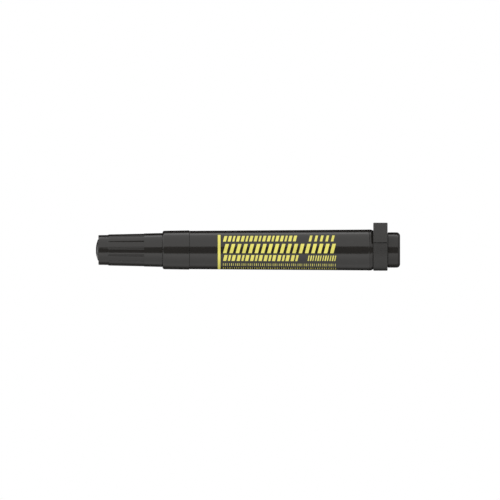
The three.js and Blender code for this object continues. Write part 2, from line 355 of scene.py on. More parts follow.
def settle(
    piece: bpy.types.Object, body: Body, slot: Slot, material: bpy.types.Material, *nodes: str
) -> bpy.types.Object:
    """Dresses a piece, puts it on its body and lets it stand for its CAD nodes.

    Args:
        piece: the finished object.
        body: the body that it rides on.
        slot: the record's material slot; not used.
        material: its finish.
        *nodes: CAD nodes that it replaces.

    Returns:
        The piece.
    """
    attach(dress(piece, material), body.value)
    if nodes:
        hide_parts(*nodes)
    return piece


class NodeWriter:
    """Writes nodes into a node tree."""

    def __init__(self, tree: bpy.types.NodeTree) -> None:
        """Keeps the tree to write to."""
        self.tree = tree

    def feed(self, node: bpy.types.Node, inputs: dict) -> None:
        """Fills inputs of a node; a socket is linked, and a colour gets an alpha of 1.

        Args:
            node: the node.
            inputs: values or sockets by input name or number.
        """
        for name, value in inputs.items():
            socket = node.inputs[name]
            if isinstance(value, bpy.types.NodeSocket):
                self.tree.links.new(value, socket)
            else:
                socket.default_value = (*value, 1.0) if socket.type == "RGBA" else value

    def add(self, kind: str, inputs: dict | None = None, **settings: object) -> bpy.types.Node:
        """Adds a node.

        Args:
            kind: the node's type name.
            inputs: values or sockets by input name or number.
            **settings: the node's own properties, set before its inputs.

        Returns:
            The node.
        """
        node = self.tree.nodes.new(kind)
        for name, value in settings.items():
            setattr(node, name, value)
        self.feed(node, inputs or {})
        return node

    def math(self, operation: str, first: object, second: object = 0.0) -> bpy.types.NodeSocket:
        """Adds a Math node and returns its output."""
        return self.add("ShaderNodeMath", {0: first, 1: second}, operation=operation).outputs[0]

    def ramp(self, value: object, low: float, high: float) -> bpy.types.NodeSocket:
        """Adds a smooth step of a value from 0 at low to 1 at high, and returns its output."""
        inputs = {"Value": value, "From Min": low, "From Max": high}
        return self.add("ShaderNodeMapRange", inputs, interpolation_type="SMOOTHSTEP").outputs[0]

    def blend(self, share: object, first: object, second: object) -> bpy.types.NodeSocket:
        """Adds a colour mix and returns its output."""
        return self.add("ShaderNodeMix", {0: share, 6: first, 7: second}, data_type="RGBA").outputs[2]

    def noise(self, position: object, scale: object, detail: float = 2.0) -> bpy.types.NodeSocket:
        """Adds a noise and returns its value."""
        inputs = {"Vector": position, "Scale": scale, "Detail": detail}
        return self.add("ShaderNodeTexNoise", inputs).outputs[0]

    def bump(self, height: object, depth: float, strength: float = 1.0) -> bpy.types.NodeSocket:
        """Adds a bump of a height from 0 to 1, with its depth in millimetres, and returns its output."""
        inputs = {"Height": height, "Strength": strength, "Distance": depth * MM}
        return self.add("ShaderNodeBump", inputs).outputs[0]


class GroupWriter(NodeWriter):
    """Writes a new shader node group that takes a position in metres."""

    def __init__(self, name: str, *numbers: str) -> None:
        """Makes the group.

        Args:
            name: the group's name.
            *numbers: names of its other inputs, which are numbers.
        """
        super().__init__(bpy.data.node_groups.new(name, "ShaderNodeTree"))
        sockets = {"Position": "NodeSocketVector"} | dict.fromkeys(numbers, "NodeSocketFloat")
        for socket, kind in sockets.items():
            self.tree.interface.new_socket(socket, in_out="INPUT", socket_type=kind)
        self.given = self.add("NodeGroupInput").outputs
        self.position = self.given["Position"]

    def stretched(self, scale: Colour, turn: float = 0.0) -> bpy.types.NodeSocket:
        """The position, scaled along each direction and turned about Y and Z."""
        inputs = {"Vector": self.position, "Rotation": (0.0, turn, turn), "Scale": scale}
        return self.add("ShaderNodeMapping", inputs).outputs[0]

    def closed(self, **outputs: bpy.types.NodeSocket) -> bpy.types.NodeTree:
        """Gives the group its outputs, each a number, and returns it."""
        for name in outputs:
            self.tree.interface.new_socket(name, in_out="OUTPUT", socket_type="NodeSocketFloat")
        self.add("NodeGroupOutput", outputs)
        return self.tree


class Effects:
    """Shader node groups that the finishes share, each built once."""

    def __init__(self) -> None:
        """Builds the groups."""
        self.grain = self._moulded_grain()
        self.marks = self._handling_marks()
        self.fibres = self._fibre_grain()

    @staticmethod
    def _moulded_grain() -> bpy.types.NodeTree:
        """Surface of moulded plastic: a slow ripple with a finer grain on it.

        Returns:
            A group that takes a position in metres and a grain size in millimetres, and gives a
            height from 0 to 1 and a slow patchiness from 0 to 1.
        """
        write = GroupWriter("moulded_grain", "Grain")
        fine_scale = write.math("DIVIDE", 1 / MM, write.given["Grain"])
        fine = write.math("MULTIPLY", write.noise(write.position, fine_scale, detail=3.0), 0.4)
        ripple = write.math("MULTIPLY", write.noise(write.position, 260.0, detail=1.0), 0.6)
        slow = write.noise(write.position, 90.0)
        return write.closed(
            Height=write.math("ADD", fine, ripple), Patches=write.ramp(slow, 0.35, 0.65)
        )

    @staticmethod
    def _handling_marks() -> bpy.types.NodeTree:
        """Hairline scratches in two directions, and specks of dust.

        A scratch is the narrow middle band of a noise that is stretched along the marker, kept
        where a slower noise is high. Dust is the core of scattered cells.

        Returns:
            A group that takes a position in metres and gives two masks, Scratches and Dust.
        """
        write = GroupWriter("handling_marks")
        masks = []
        for turn, stretch in ((0.18, 0.05), (-0.35, 0.09)):
            noise = write.noise(write.stretched((stretch, 1.0, 1.0), turn), 900.0, detail=1.0)
            middle = write.math("ABSOLUTE", write.math("SUBTRACT", noise, 0.5))
            masks.append(write.math("SUBTRACT", 1.0, write.ramp(middle, 0.002, 0.009)))
        lines = write.math("MAXIMUM", *masks)
        where = write.ramp(write.noise(write.position, 210.0), 0.52, 0.68)
        cells = write.add("ShaderNodeTexVoronoi", {"Vector": write.position, "Scale": 420.0})
        cores = write.ramp(cells.outputs["Distance"], 0.03, 0.07)
        return write.closed(
            Scratches=write.math("MULTIPLY", lines, where), Dust=write.math("SUBTRACT", 1.0, cores)
        )

    @staticmethod
    def _fibre_grain() -> bpy.types.NodeTree:
        """Bundled fibres that run along the marker, as noise stretched along X.

        Returns:
            A group that takes a position in metres and gives a height and a tone, both 0 to 1.
        """
        write = GroupWriter("fibre_grain")
        placed = write.stretched((0.12, 1.0, 1.0))
        strands, bundles = write.noise(placed, 5200.0, 3.0), write.noise(placed, 1400.0, 1.0)
        return write.closed(Height=strands, Tone=bundles)


class MaterialWriter(NodeWriter):
    """Writes a new material, whose Principled BSDF is joined to its output."""

    def __init__(self, name: str) -> None:
        """Makes the material with this name."""
        self.material = bpy.data.materials.new(name)
        self.material.use_nodes = True
        self.material.node_tree.nodes.clear()
        super().__init__(self.material.node_tree)
        self.shader = self.add("ShaderNodeBsdfPrincipled")
        self.output = self.add("ShaderNodeOutputMaterial", {"Surface": self.shader.outputs[0]})

    def position(self) -> bpy.types.NodeSocket:
        """The object's coordinates, which are metres in the frame."""
        return self.add("ShaderNodeTexCoord").outputs["Object"]

    def effect(self, group: bpy.types.NodeTree, **inputs: float) -> bpy.types.NodeOutputs:
        """Adds a shared group and returns its outputs."""
        inputs = {"Position": self.position(), **inputs}
        return self.add("ShaderNodeGroup", inputs, node_tree=group).outputs

    def shaded(self, inputs: dict) -> bpy.types.Material:
        """Fills inputs of the Principled BSDF and returns the material."""
        self.feed(self.shader, inputs)
        return self.material


@dataclass(frozen=True)
class Finish:
    """A finish of one colour.

    Attributes:
        name: the material's name.
        colour: its linear colour.
    """

    name: str
    colour: Colour

    def material(self, effects: Effects) -> bpy.types.Material:
        """Builds the material with the shared node groups."""
        raise NotImplementedError


@dataclass(frozen=True)
class MouldedPlastic(Finish):
    """Injection-moulded plastic, with a faint grain, hairline scratches and a little dust.

    Attributes:
        roughness: of its clean surface.
        grain: size of the fine grain, in millimetres.
        relief: height of the grain, in millimetres.
        scratches: how far scratches and dust show, from 0 to 1.
        ior: index of refraction, which sets the gloss seen head on.
    """

    roughness: float
    grain: float = 0.5
    relief: float = 0.002
    scratches: float = 0.5
    ior: float = 1.5

    def material(self, effects: Effects) -> bpy.types.Material:
        """Builds the material; a scratch is paler and rougher than the rest, and dust is greyer.

        Args:
            effects: the shared node groups.

        Returns:
            The material.
        """
        write = MaterialWriter(self.name)
        grain, marks = write.effect(effects.grain, Grain=self.grain), write.effect(effects.marks)
        scratches = write.math("MULTIPLY", marks["Scratches"], self.scratches)
        dust = write.math("MULTIPLY", marks["Dust"], self.scratches * 0.5)
        scuffed = tuple(min(1.0, part * 1.25 + 0.006) for part in self.colour)
        dusty = tuple(0.8 * part + 0.05 for part in self.colour)
        patchy = write.math("MULTIPLY", grain["Patches"], 0.03)
        rough = write.math("ADD", write.math("MULTIPLY", scratches, 0.12), patchy)
        return write.shaded(
            {
                "Base Color": write.blend(dust, write.blend(scratches, self.colour, scuffed), dusty),
                "Roughness": write.math("ADD", rough, self.roughness - 0.015),
                "Normal": write.bump(grain["Height"], self.relief),
                "IOR": self.ior,
            }
        )


@dataclass(frozen=True)
class PrintingInk(Finish):
    """Opaque screen ink, slightly uneven in tone.

    Attributes:
        thin: linear colour where the ink lies thin.
        roughness: of the dry ink.
    """

    thin: Colour
    roughness: float

    def material(self, effects: Effects) -> bpy.types.Material:
        """Builds the material; its tone and its bump follow one fine grain.

        Args:
            effects: the shared node groups.

        Returns:
            The material.
        """
        write = MaterialWriter(self.name)
        height = write.effect(effects.grain, Grain=0.25)["Height"]
        return write.shaded(
            {
                "Base Color": write.blend(write.ramp(height, 0.3, 0.62), self.thin, self.colour),
                "Normal": write.bump(height, 0.002),
                "Roughness": self.roughness,
            }
        )


@dataclass(frozen=True)
class InkedFibre(Finish):
    """Bundled polyester fibres soaked with ink.

    Attributes:
        pale: linear colour of the drier fibres.
    """

    pale: Colour

    def material(self, effects: Effects) -> bpy.types.Material:
        """Builds the material from the grain of the fibres.

        Args:
            effects: the shared node groups.

        Returns:
            The material.
        """
        write = MaterialWriter(self.name)
        fibres = write.effect(effects.fibres)
        rough = write.math("ADD", write.math("MULTIPLY", fibres["Height"], 0.3), 0.6)
        return write.shaded(
            {
                "Base Color": write.blend(write.ramp(fibres["Tone"], 0.4, 0.7), self.colour, self.pale),
                "Roughness": rough,
                "Normal": write.bump(fibres["Height"], 0.04, strength=0.8),
            }
        )


@dataclass(frozen=True)
class ClearFilm(Finish):
    """Thin clear wrap with a slight haze."""

    def material(self, effects: Effects) -> bpy.types.Material:
        """Builds the material; where it is hazier it is rougher and less clear.

        Args:
            effects: the shared node groups.

        Returns:
            The material.
        """
        write = MaterialWriter(self.name)
        haze = write.math("MULTIPLY", write.effect(effects.grain, Grain=1.2)["Patches"], 0.12)
        alpha = write.math("ADD", write.math("MULTIPLY", haze, 0.5), 0.3)
        rough = write.math("ADD", haze, 0.08)
        return write.shaded({"Base Color": self.colour, "Roughness": rough, "Alpha": alpha})


@dataclass(frozen=True)
class NickelPlate(Finish):
    """Nickel plating with a fine ground texture."""

    def material(self, effects: Effects) -> bpy.types.Material:
        """Builds the material; grain and scratches make it rougher.

        Args:
            effects: the shared node groups.

        Returns:
            The material.
        """
        write = MaterialWriter(self.name)
        grain, marks = write.effect(effects.grain, Grain=0.15), write.effect(effects.marks)
        scratches = write.math("MULTIPLY", marks["Scratches"], 0.2)
        rough = write.math("ADD", write.math("MULTIPLY", grain["Height"], 0.2), scratches)
        rough = write.math("ADD", rough, 0.15)
        return write.shaded({"Base Color": self.colour, "Roughness": rough, "Metallic": 1.0})


MATT_GRAIN = {"grain": 0.18, "relief": 0.006}

BLACK_PLASTIC = MouldedPlastic("black_plastic", (0.0176, 0.0163, 0.0148), 0.16)
KNOB_PLASTIC = MouldedPlastic("knob_plastic", (0.0172, 0.0158, 0.0144), 0.17, ior=1.43)
KNOB_END_PLASTIC = MouldedPlastic(
    "knob_end_plastic", (0.0185, 0.0172, 0.0158), 0.7, ior=1.3, **MATT_GRAIN
)
SATIN_PLASTIC = MouldedPlastic("satin_plastic", (0.027, 0.0257, 0.0241), 0.66, **MATT_GRAIN)
# A darker copy of the satin plastic for the collar's ring: painted shade, since the ring's lower side
# faces away from the light.
SATIN_PLASTIC_PAINTED_SHADE = MouldedPlastic("satin_plastic_painted_shade", (0.0235, 0.0223, 0.0209), 0.66, **MATT_GRAIN)
PALE_PLASTIC = MouldedPlastic(
    "pale_plastic", (0.66, 0.645, 0.6), 0.34, relief=0.003, scratches=0.2
)
YELLOW_INK = PrintingInk("yellow_ink", (0.69, 0.635, 0.125), (0.575, 0.53, 0.1), 0.36)
NIB_FIBRE = InkedFibre("nib_fibre", (0.012, 0.0115, 0.013), (0.03, 0.029, 0.033))
RESERVOIR_FIBRE = InkedFibre("reservoir_fibre", (0.016, 0.0155, 0.018), (0.07, 0.068, 0.075))
FILM = ClearFilm("film", (0.55, 0.58, 0.6))
NICKEL = NickelPlate("nickel", (0.62, 0.59, 0.54))


@dataclass
class Cap:
    """Pull-off cap: shell with the grooved grip, domed end plug and inner sleeve.

    Lengths run from the closed end; radii are from the axis.
    """

    axis: MarkerAxis
    effects: Effects
    nose_radius: float = 6.62
    nose_length: float = 4.2
    nose_round: float = 0.3
    nose_draft: float = 0.015
    grip_step: float = 0.265
    grip_rise: float = 0.6
    grip_rise_bulge: float = 0.7
    grip_length: float = 16.1
    grip_draft: float = 0.021
    band_step: float = 0.1
    band_length: float = 8.2
    band_draft: float = 0.022
    shoulder_round: float = 1.4
    shoulder_draft: float = 0.015
    mouth_round: float = 0.22
    skirt_wall: float = 1.0
    shoulder_wall: float = 1.6
    band_wall: float = 1.15
    nose_wall: float = 1.2
    end_wall: float = 1.5
    groove_count: int = 14
    groove_turn: float = 31.8
    groove_width: float = 0.95
    groove_floor: float = 0.1
    groove_depth: float = 0.36
    groove_softness: float = 0.1
    dome_radius: float = 4.7
    dome_height: float = 0.93
    dome_points: int = 24
    gate_radius: float = 0.75
    gate_slope: float = 0.15
    gate_depth: float = 0.07
    stem_radius: float = 3.2
    stem_gap: float = 0.05
    stem_reach: float = 1.0
    stem_barb: float = 0.2
    sleeve_wall: float = 0.9
    sleeve_end_wall: float = 0.8
    lip_width: float = 1.2
    lip_ramp: float = 0.5
    lip_height: float = 0.11

    def __post_init__(self) -> None:
        """Works out the places and radii that follow from the frame."""
        shell = self.axis.span("cap_shell")
        self.nose, self.mouth, self.mouth_radius = shell.start, shell.end, shell.radius
        self.grip = self.nose + self.nose_length
        self.band = self.grip + self.grip_length
        self.shoulder = self.band + self.band_length
        self.nose_rear = self.nose_radius + self.nose_draft * self.nose_length
        self.grip_radius = self.nose_rear + self.grip_step
        self.grip_rear = self.grip_radius + self.grip_draft * (self.grip_length - self.grip_rise)
        self.band_radius = self.grip_rear + self.band_step
        self.bore = self.nose_radius - self.nose_wall

    def shell_profile(self) -> np.ndarray:
        """The shell's wall, from the stem's hole round the outside and back inside.

        Returns:
            Places and radii, in shape (points, 2).
        """
        skirt = self.mouth_radius - self.shoulder_draft * (self.mouth - self.shoulder)
        skirt_bore = skirt - self.skirt_wall
        band_bore = self.band_radius - self.band_wall
        hole = self.stem_radius + self.stem_gap
        inside = self.nose + self.end_wall
        room = self.shoulder + self.shoulder_wall
        bulge = self.nose_rear + self.grip_rise_bulge * self.grip_step
        corners = [
            (self.nose, hole, 0.0),
            (self.nose, self.nose_radius, self.nose_round),
            (self.grip, self.nose_rear, 0.08),
            (self.grip + self.grip_rise / 2, bulge, 0.15),
            (self.grip + self.grip_rise, self.grip_radius, 0.2),
            (self.band, self.grip_rear, 0.0),
            (self.band, self.band_radius, 0.05),
            (self.shoulder, self.band_radius + self.band_draft * self.band_length, 0.12),
            (self.shoulder, skirt, self.shoulder_round),
            (self.mouth, self.mouth_radius, self.mouth_round),
            (self.mouth, skirt_bore, 0.2),
            (room, skirt_bore, 0.1),
            (room, band_bore, 0.2),
            (self.band, band_bore, 0.3),
            (self.band - self.band_wall, self.bore, 0.3),
            (inside, self.bore, 0.3),
            (inside, hole, 0.0),
        ]
        return supported(rounded(corners, closed=True), closed=True, longest=2.5)

    def groove_angles(self, half_columns: int = 16) -> np.ndarray:
        """Angles of the shell's columns, closer together in the grooves than on the lands.

        Within each groove's share of the turn, the columns lie at a power of evenly spaced steps
        from the groove's middle.

        Args:
            half_columns: columns from a groove's middle to the middle of a land.

        Returns:
            Angles in radians, upwards from the front side.
        """
        step = np.arange(-half_columns, half_columns) / half_columns
        share = np.sign(step) * np.abs(step) ** 1.5 * np.pi / self.groove_count
        middle = np.arange(self.groove_count) * 2 * np.pi / self.groove_count
        return (math.radians(self.groove_turn) + middle[:, None] + share).reshape(-1)

    def grooved_radius(self, along: np.ndarray, radius: np.ndarray, angle: np.ndarray) -> np.ndarray:
        """Radius of the shell with its grooves.

        A groove's bottom rises evenly from the radius of the nose's rear to one depth below the
        grip's rear, and its sides rise evenly from the edges of the bottom. The grip is the lower
        of this and its plain profile, with a smooth turn where they meet.

        Args:
            along: places of the rows.
            radius: radius of the plain profile there.
            angle: angles of the columns.

        Returns:
            The radius at each row and column.
        """
        pitch = 2 * np.pi / self.groove_count
        offset = angle - math.radians(self.groove_turn)
        offset = (offset + pitch / 2) % pitch - pitch / 2
        slope = 2 * self.groove_depth / (self.groove_width - self.groove_floor)
        rise = self.grip_rear - self.groove_depth - self.nose_rear
        bottom = self.nose_rear + rise * np.clip((along - self.grip) / self.grip_length, 0, 1)
        side = np.maximum(np.abs(offset) * radius - self.groove_floor / 2, 0) * slope
        groove = bottom + side
        soft = self.groove_softness
        overlap = np.maximum(soft - np.abs(radius - groove), 0) / soft
        grooved = np.minimum(radius, groove) - overlap**2 * soft / 4
        on_grip = (along < self.band + SLACK) & (radius < self.grip_rear + SLACK)
        return np.where(on_grip, grooved, radius)

    def build_shell(self) -> bpy.types.Object:
        """Makes the shell from its profile and the grooved radius."""
        profile = self.shell_profile()
        along, radius = profile[:, :1], profile[:, 1:]
        angle = self.groove_angles()[None, :]
        grid = self.axis.around(along, self.grooved_radius(along, radius, angle), angle)
        return grid_object("cap_shell_form", grid, closed=True)

    def build_end_plug(self) -> bpy.types.Object:
        """Makes the end plug: a dome that is part of a sphere, with a gate mark, and a barbed stem."""
        sphere = (self.dome_radius**2 + self.dome_height**2) / 2 / self.dome_height
        rim = self.gate_radius * (1 + self.gate_slope)
        radius = np.linspace(rim, self.dome_radius, self.dome_points)
        dome = np.stack([sphere - np.sqrt(sphere**2 - radius**2), radius], axis=-1)
        gate = [
            (self.gate_depth, 0.0),
            (self.gate_depth, self.gate_radius * (1 - self.gate_slope)),
            (self.gate_depth * 0.6, self.gate_radius),
        ]
        wall_end = self.nose + self.end_wall
        stem = rounded(
            [
                (self.dome_height, self.dome_radius, 0.0),
                (self.nose, self.dome_radius, 0.06),
                (self.nose, self.stem_radius, 0.0),
                (wall_end, self.stem_radius, 0.0),
                (wall_end + self.stem_reach / 2, self.stem_radius + self.stem_barb, 0.1),
                (wall_end + self.stem_reach, self.stem_radius - self.stem_barb, 0.1),
                (wall_end + self.stem_reach, 0.0, 0.0),
            ]
        )
        return turned_object("cap_end_plug_form", self.axis, np.concatenate([gate, dome, stem[1:]]))

    def build_sleeve(self) -> bpy.types.Object:
        """Makes the inner sleeve: a cup with a sealing lip inside its rim."""
        span = self.axis.span("cap_inner_sleeve")
        bore = span.radius - self.sleeve_wall
        corners = [
            (span.start, 0.0, 0.0),
            (span.start, span.radius, 0.4),
            (span.end, span.radius, 0.25),
            (span.end, bore, 0.2),
            (span.end - self.lip_ramp, bore - self.lip_height, 0.1),
            (span.end - self.lip_width, bore - self.lip_height, 0.1),
            (span.end - self.lip_width - self.lip_ramp, bore, 0.1),
            (span.start + self.sleeve_end_wall, bore, 0.5),
            (span.start + self.sleeve_end_wall, 0.0, 0.0),
        ]
        return turned_object("cap_sleeve_form", self.axis, rounded(corners))

    def build(self) -> list[bpy.types.Object]:
        """Builds and dresses the cap.

        Returns:
            Its pieces.
        """
        black, pale = BLACK_PLASTIC.material(self.effects), PALE_PLASTIC.material(self.effects)
        return [
            settle(self.build_shell(), Body.CAP, Slot.BLACK, black, "cap_shell"),
            settle(self.build_end_plug(), Body.CAP, Slot.BLACK, black, "cap_end_plug"),
            settle(self.build_sleeve(), Body.CAP, Slot.PALE, pale, "cap_inner_sleeve"),
        ]


@dataclass
class WritingEnd:
    """What the cap covers: the front section and the nib, and the reservoir behind them."""

    axis: MarkerAxis
    effects: Effects
    nose_taper: float = 1.0
    nose_taper_length: float = 2.4
    seat_radius: float = 4.3
    seat_length: float = 3.0
    cone_length: float = 10.85
    cone_radius: float = 6.07
    neck_round: float = 0.4
    snap_bead: float = 0.05
    snap_place: float = 3.2
    snap_half: float = 0.5
    hole_radius: float = 2.5
    hole_length: float = 8.5
    insert_radius: float = 7.29
    insert_bore: float = 6.19
    insert_length: float = 7.05
    insert_bore_inset: float = 2.2
    nib_round_length: float = 2.3
    nib_round_points: int = 18
    nib_chamfer: float = 0.8
    nib_columns: int = 96

    def build_front_section(self) -> bpy.types.Object:
        """Makes the nib holder: nose, seal seat, cone, neck with a low snap bead, and insert."""
        span = self.axis.span("front_section")
        seat = span.start + self.nose_taper_length
        neck = seat + self.seat_length + self.cone_length
        rim = span.end - self.insert_length
        bead = neck + self.snap_place
        corners = [
            (span.start, self.hole_radius, 0.15),
            (span.start, self.seat_radius - self.nose_taper, 0.3),
            (seat, self.seat_radius, 0.4),
            (seat + self.seat_length, self.seat_radius, 0.3),
            (neck, self.cone_radius, 0.2),
            (neck, span.radius, self.neck_round),
            (bead - self.snap_half, span.radius, 0.2),
            (bead, span.radius + self.snap_bead, 0.4),
            (bead + self.snap_half, span.radius, 0.2),
            (rim, span.radius, 0.1),
            (rim, self.insert_radius, 0.0),
            (span.end, self.insert_radius, 0.3),
            (span.end, self.insert_bore, 0.1),
            (neck + self.insert_bore_inset, self.insert_bore, 0.3),
            (span.start + self.hole_length, self.hole_radius, 0.3),
        ]
        profile = rounded(corners, closed=True)
        return turned_object("front_section_form", self.axis, profile, closed=True, longest=1.5)

    def build_nib(self) -> bpy.types.Object:
        """Makes the nib: a quarter ellipse, a rod and a chamfered tail, turned about the axis."""
        span = self.axis.span("nib")
        turn = np.linspace(0, np.pi / 2, self.nib_round_points)
        along = span.start + self.nib_round_length * (1 - np.cos(turn))
        bullet = np.stack([along, span.radius * np.sin(turn)], axis=-1)
        tail = [
            (span.end - self.nib_chamfer, span.radius),
            (span.end, span.radius - self.nib_chamfer),
            (span.end, 0.0),
        ]
        profile = np.concatenate([bullet, tail])
        return turned_object("nib_form", self.axis, profile, columns=self.nib_columns)

    def build(self) -> list[bpy.types.Object]:
        """Builds and dresses the writing end; the reservoir and its film stay as they are.

        Returns:
            Its pieces.
        """
        black, nib = BLACK_PLASTIC.material(self.effects), NIB_FIBRE.material(self.effects)
        return [
            settle(self.build_front_section(), Body.MARKER, Slot.BLACK, black, "front_section"),
            settle(self.build_nib(), Body.MARKER, Slot.FIBRE, nib, "nib"),
            dress(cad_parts["ink_reservoir"], RESERVOIR_FIBRE.material(self.effects)),
            dress(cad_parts["reservoir_film"], FILM.material(self.effects)),
        ]


@dataclass
class Barrel:
    """Tapered tube with a bead round its rear rim."""

    axis: MarkerAxis
    effects: Effects
    front_radius: float = 8.54
    rear_radius: float = 9.11
    front_wall: float = 1.2
    rear_wall: float = 1.25
    front_round: float = 0.18
    seam: float = 0.005
    bead_height: float = 0.09
    bead_width: float = 0.45
    bead_crest: float = 0.18
    columns: int = 256

    def __post_init__(self) -> None:
        """Reads the barrel's place from the frame."""
        self.span = self.axis.span("barrel")

    def radius_at(self, along: np.ndarray) -> np.ndarray:
        """Radius of the outside, which grows evenly from the front to the rear."""
        share = (along - self.span.start) / (self.span.end - self.span.start)
        return self.front_radius + (self.rear_radius - self.front_radius) * share

    def build(self) -> list[bpy.types.Object]:
        """Builds and dresses the barrel.

        Returns:
            Its one piece.
        """
        start, end = self.axis.span("cap_shell").end + self.seam, self.span.end
        crest = self.rear_radius + self.bead_height
        slope = (self.bead_width - self.bead_crest) / 2
        corners = [
            (start, self.front_radius - self.front_wall, 0.15),
            (start, self.front_radius, self.front_round),
            (end - self.bead_width, self.rear_radius, 0.05),
            (end - self.bead_width + slope, crest, 0.08),
            (end - slope, crest, 0.08),
            (end, self.rear_radius, 0.0),
            (end, self.rear_radius - self.rear_wall, 0.15),
        ]
        profile = rounded(corners, closed=True)
        piece = turned_object("barrel_form", self.axis, profile, closed=True, columns=self.columns)
        black = BLACK_PLASTIC.material(self.effects)
        return [settle(piece, Body.MARKER, Slot.BLACK, black, "barrel")]


@dataclass(frozen=True)
class PrintedRow:
    """One row of printed blocks along the barrel.

    Attributes:
        name: name of its object.
        start: place of the first block, in millimetres.
        end: place where the row stops.
        top: upper edge, in degrees above the front side.
        bottom: lower edge.
        lengths: lengths of the blocks, repeated along the row.
        gaps: free length after each block, repeated likewise.
        slant: how far the upper edge is shifted to the rear.
        steps: runs up each block.
    """

    name: str
    start: float
    end: float
    top: float
    bottom: float
    lengths: tuple[float, ...]
    gaps: tuple[float, ...]
    slant: float = 0.0
    steps: int = 8

    def blocks(self) -> tuple[np.ndarray, np.ndarray]:
        """Start and end of every block, by adding up the repeated lengths and gaps.

        Returns:
            Starts and ends in millimetres.
        """
        pitch = (sum(self.lengths) + sum(self.gaps)) / len(self.lengths)
        count = math.ceil((self.end - self.start) / pitch) + len(self.lengths)
        lengths = np.resize(self.lengths, count)
        pitches = lengths + np.resize(self.gaps, count)
        starts = self.start + np.concatenate([[0], np.cumsum(pitches)[:-1]])
        ends = starts + lengths
        kept = ends <= self.end + SLACK
        return starts[kept], ends[kept]


@dataclass
class Print:
    """Yellow print on the barrel: a stripe round the front side, and rows of plain blocks."""

    axis: MarkerAxis
    effects: Effects
    barrel: Barrel
    thickness: float = 0.012
    depth: float = 0.01
    rows: tuple[PrintedRow, ...] = (
        PrintedRow("print_stripe", 54.26, 55.47, 51, -141, (1.21,), (0.0,), steps=64),
        PrintedRow("print_upper", 56.6, 89.9, 46, 25.7, (1.3, 1.3, 0.9), (0.75, 0.75, 0.8), 0.65),
        PrintedRow("print_strokes", 94.7, 105.8, 46, 25, (1.1,), (1.37,), 0.65),
        PrintedRow("print_bars", 56.6, 107.2, 18, -9.3, (1.55,), (1.25,), 1.1),
        PrintedRow("print_lower", 56.6, 91.2, -15, -34, (1.4, 0.95, 1.4), (0.7, 0.7, 0.85), 0.6),
        PrintedRow("print_light", 94.2, 107.3, -16, -33, (0.45, 0.6, 0.45), (0.55, 0.5, 0.7), 0.5),
        PrintedRow("print_fine_upper", 56.6, 107.6, -43, -54, (0.22, 0.3, 0.19), (0.63, 0.6, 0.83)),
        PrintedRow("print_fine_lower", 56.6, 107.6, -62, -75, (0.25, 0.16, 0.2), (0.7, 0.89, 0.8)),
    )

    def slabs(self, row: PrintedRow) -> bpy.types.Object:
        """Makes a row's thin closed slabs of ink, which follow the tapered barrel.

        Each slab's surface is a grid of shares along and up the block. A point lies at the block's
        start, plus its share of the length, plus its upward share of the slant; its angle is the
        lower edge's plus its share of the height. The outer grid stands above the barrel and the
        inner one lies below its surface, and their borders are joined.

        Args:
            row: the row.

        Returns:
            One object with all of its slabs.
        """
        starts, ends = (side[:, None, None] for side in row.blocks())
        share_along = np.linspace(0, 1, 3)[None, :, None]
        share_up = np.linspace(0, 1, row.steps + 1)[None, None, :]
        along = starts + (ends - starts) * share_along + row.slant * share_up
        angle = np.radians(row.bottom + (row.top - row.bottom) * share_up) + np.zeros_like(along)
        surface = self.barrel.radius_at(along)
        outer = self.axis.around(along, surface + self.thickness, angle)
        inner = self.axis.around(along, surface - self.depth, angle)
        points = np.stack([outer, inner], axis=1)
        index = np.arange(points[0, 0, ..., 0].size).reshape(points.shape[2:4])
        flat = np.stack([index[:-1, :-1], index[1:, :-1], index[1:, 1:], index[:-1, 1:]], axis=-1)
        flat = flat.reshape(-1, 4)
        border = np.concatenate([index[0, :-1], index[:-1, -1], index[-1, :0:-1], index[:0:-1, 0]])
        ahead = np.roll(border, -1)
        sides = np.stack([border, ahead, ahead + index.size, border + index.size], axis=-1)
        faces = np.concatenate([flat, flat[:, ::-1] + index.size, sides])
        first = np.arange(len(starts))[:, None, None] * 2 * index.size
        made = mesh_object(row.name, points, (faces[None] + first).reshape(-1, 4).tolist())
        finish_mesh(made.data, sharp=40.0)
        return made

    def build(self) -> list[bpy.types.Object]:
        """Builds and dresses the print, with one object for each row."""
        ink = YELLOW_INK.material(self.effects)
        return [settle(self.slabs(row), Body.MARKER, Slot.BLACK, ink) for row in self.rows]


